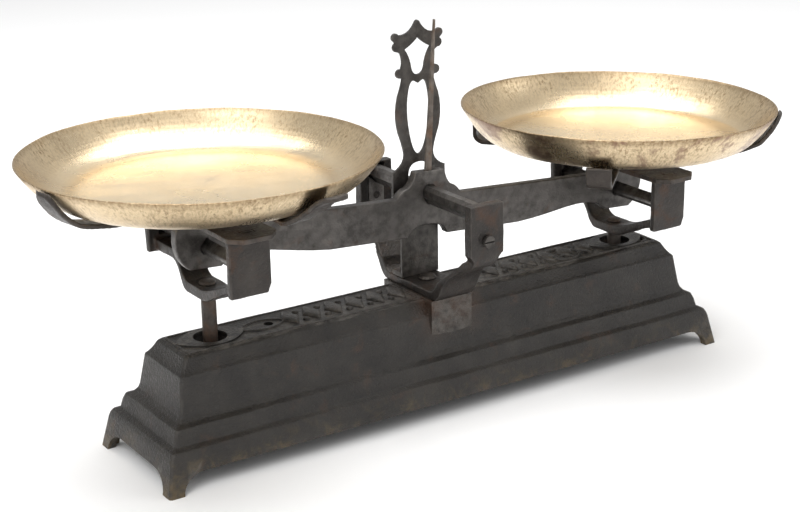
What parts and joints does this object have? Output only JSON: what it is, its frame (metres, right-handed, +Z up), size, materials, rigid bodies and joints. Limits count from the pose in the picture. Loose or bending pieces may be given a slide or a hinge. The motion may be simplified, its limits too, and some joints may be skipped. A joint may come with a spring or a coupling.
{
  "type": "bench scale",
  "caption": "Antique equal-arm counter balance: moulded cast-iron base, forged fork and beam on knife edges, pointer in an open lyre frame, brass pans on strap crosses with hooked ends.",
  "frame": {"origin": "on the floor, midway between the outermost points of the two pan crosses, a few millimetres off the middle of the base, as one hook stands off to the front", "axes": "+X along the beam towards the pan that hangs low when the balance is empty, +Y to the back, away from the pointer side, +Z up"},
  "size_m": [0.5978, 0.254, 0.2778],
  "materials": {
    "cast_iron": "rough bare casting, darkened, worn grey on the edges",
    "forged_iron": "dark forged iron, satin, lighter on the worn edges",
    "rusty_iron": "dark iron with brown rust",
    "knife_steel": "hardened steel, dulled",
    "pan_brass": "thin spun brass with a brown patina towards the rim"
  },
  "bodies": {
    "base": {"base_casting": "cast_iron", "fork": "forged_iron", "fork_stud": "forged_iron", "fork_nut": "forged_iron", "bearing_front": "knife_steel", "bearing_rear": "knife_steel", "bearing_screw_front": "forged_iron", "bearing_screw_rear": "forged_iron", "lyre_plate": "forged_iron", "lyre_screw_left": "forged_iron", "lyre_screw_right": "forged_iron", "stay_hanger": "forged_iron", "stay_pivot_pin": "forged_iron"},
    "beam": {"beam": "forged_iron", "centre_knife": "knife_steel", "end_knife_left": "knife_steel", "end_knife_right": "knife_steel", "pointer": "forged_iron"},
    "stay": {"stay_bar": "forged_iron"},
    "carrier_left": {"stirrup_left": "forged_iron", "end_bearing_front_left": "knife_steel", "end_bearing_rear_left": "knife_steel", "stem_left": "rusty_iron", "stem_pin_left": "forged_iron", "pan_bridge_left": "rusty_iron", "cross_hub_left": "forged_iron", "hook_strap_lower_left": "forged_iron", "hook_strap_upper_left": "forged_iron", "cross_rivet_left": "forged_iron"},
    "pan_left": {"pan_left": "pan_brass"},
    "carrier_right": {"stirrup_right": "forged_iron", "end_bearing_front_right": "knife_steel", "end_bearing_rear_right": "knife_steel", "stem_right": "rusty_iron", "stem_pin_right": "forged_iron", "pan_bridge_right": "rusty_iron", "cross_hub_right": "forged_iron", "hook_strap_lower_right": "forged_iron", "hook_strap_upper_right": "forged_iron", "cross_rivet_right": "forged_iron"},
    "pan_right": {"pan_right": "pan_brass"}
  },
  "joints": [
    {"name": "beam_rock", "type": "hinge", "parent": "base", "child": "beam", "pos_m": [0.00044, 0.00549, 0.1455], "axis": [0, -1, 0], "range_deg": [0, 7.1]},
    {"name": "carrier_left_hang", "type": "hinge", "parent": "beam", "child": "carrier_left", "pos_m": [-0.17737, 0.00549, 0.15403], "axis": [0, -1, 0], "range_deg": [-7.1, 0]},
    {"name": "carrier_right_hang", "type": "hinge", "parent": "beam", "child": "carrier_right", "pos_m": [0.17794, 0.00549, 0.13198], "axis": [0, -1, 0], "range_deg": [-7.1, 0]},
    {"name": "stay_rock", "type": "hinge", "parent": "base", "child": "stay", "pos_m": [0.00044, 0.00549, 0.038], "axis": [0, -1, 0], "range_deg": [0, 7.1]},
    {"name": "pan_left_lift", "type": "slide", "parent": "carrier_left", "child": "pan_left", "axis": [0, 0, 1], "range_m": [0, 0.08]},
    {"name": "pan_right_lift", "type": "slide", "parent": "carrier_right", "child": "pan_right", "axis": [0, 0, 1], "range_m": [0, 0.08]}
  ],
  "couplings": [
    {"joint": "carrier_left_hang", "follows": "beam_rock", "ratio": -1},
    {"joint": "carrier_right_hang", "follows": "beam_rock", "ratio": -1},
    {"joint": "stay_rock", "follows": "beam_rock", "ratio": 1}
  ]
}
